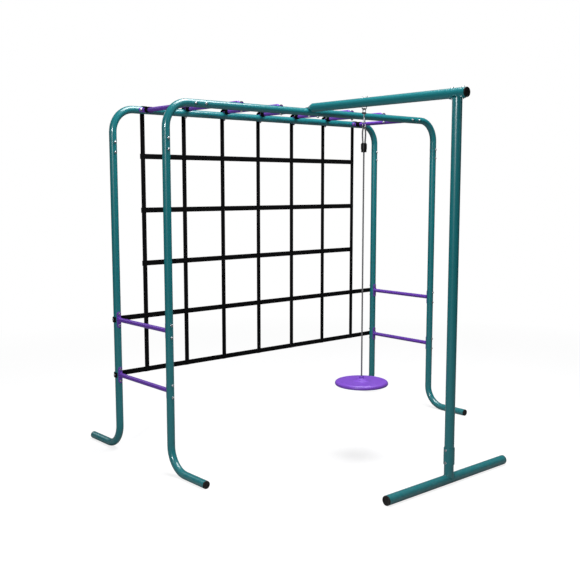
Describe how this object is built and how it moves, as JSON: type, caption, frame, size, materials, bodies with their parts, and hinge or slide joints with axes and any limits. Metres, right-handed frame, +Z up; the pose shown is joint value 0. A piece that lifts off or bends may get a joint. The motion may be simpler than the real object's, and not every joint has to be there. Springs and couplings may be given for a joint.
{
  "type": "climbing_frame_with_swing",
  "caption": "Free-standing steel monkey-bar climbing frame with a webbing net on one side and a disc swing hung from a side arm on its own post.",
  "frame": {"origin": "on the ground, under the middle of the whole footprint", "axes": "+X runs along the top rails, to the right when the swing post is nearest; +Y runs from the swing post towards the net; +Z is up"},
  "size_m": [2.1722, 1.9884, 2.0075],
  "materials": {
    "teal_paint": "glossy powder coat on steel tube",
    "purple_paint": "glossy powder coat on steel tube",
    "purple_plastic": "moulded plastic with a fine satin grain",
    "black_plastic": "moulded plastic, slightly grained",
    "black_webbing": "flat woven webbing with sewn ends",
    "grey_rope": "twisted synthetic rope",
    "zinc_steel": "bright zinc plate"
  },
  "bodies": {
    "frame": {"front_top_tube": "teal_paint", "back_top_tube": "teal_paint", "front_left_leg": "teal_paint", "front_right_leg": "teal_paint", "back_left_leg": "teal_paint", "back_right_leg": "teal_paint", "leg_joint_bolts": "zinc_steel", "leg_joint_nuts": "zinc_steel", "rung_1": "purple_paint", "rung_2": "purple_paint", "rung_3": "purple_paint", "rung_4": "purple_paint", "rung_5": "purple_paint", "rung_6": "purple_paint", "rung_7": "purple_paint", "end_rung_bolts": "zinc_steel", "end_rung_nuts": "zinc_steel", "rung_bolts": "zinc_steel", "rung_nuts": "zinc_steel", "rung_bolt_caps": "black_plastic", "left_upper_side_rail": "purple_paint", "left_lower_side_rail": "purple_paint", "right_upper_side_rail": "purple_paint", "right_lower_side_rail": "purple_paint", "side_rail_bolts": "zinc_steel", "side_rail_nuts": "zinc_steel", "net_screws": "zinc_steel", "net_upright_1": "black_webbing", "net_upright_2": "black_webbing", "net_upright_3": "black_webbing", "net_upright_4": "black_webbing", "net_upright_5": "black_webbing", "net_upright_6": "black_webbing", "net_upright_7": "black_webbing", "net_row_1": "black_webbing", "net_row_2": "black_webbing", "net_row_3": "black_webbing", "net_row_4": "black_webbing", "net_row_5": "black_webbing", "swing_arm": "teal_paint", "swing_post": "teal_paint", "post_sleeve": "teal_paint", "cross_foot": "teal_paint", "arm_bolts": "zinc_steel", "arm_nuts": "zinc_steel", "foot_end_caps": "black_plastic", "large_end_caps": "black_plastic", "swing_u_bolt": "zinc_steel", "u_bolt_nuts": "zinc_steel"},
    "shackle_link": {"shackle": "zinc_steel", "shackle_pin": "zinc_steel"},
    "swivel": {"swivel_eye": "zinc_steel"},
    "swing": {"snap_hook": "zinc_steel", "swing_rope": "grey_rope", "rope_adjuster": "black_plastic", "disc_seat": "purple_plastic", "seat_knot": "grey_rope"},
    "gate": {"hook_gate": "zinc_steel"}
  },
  "joints": [
    {"name": "swing_sideways", "type": "hinge", "parent": "frame", "child": "shackle_link", "pos_m": [-0.069, -0.30625, 1.9355], "axis": [0, 1, 0], "range_deg": [-30, 30]},
    {"name": "swing_fore_aft", "type": "hinge", "parent": "shackle_link", "child": "swivel", "pos_m": [-0.069, -0.30625, 1.9155], "axis": [1, 0, 0], "range_deg": [-16, 33]},
    {"name": "swing_spin", "type": "hinge", "parent": "swivel", "child": "swing", "pos_m": [-0.069, -0.30625, 1.8745], "axis": [0, 0, 1], "continuous": true},
    {"name": "hook_gate_hinge", "type": "hinge", "parent": "swing", "child": "gate", "pos_m": [-0.08, -0.30625, 1.8455], "axis": [0, 1, 0], "range_deg": [0, 25]}
  ]
}
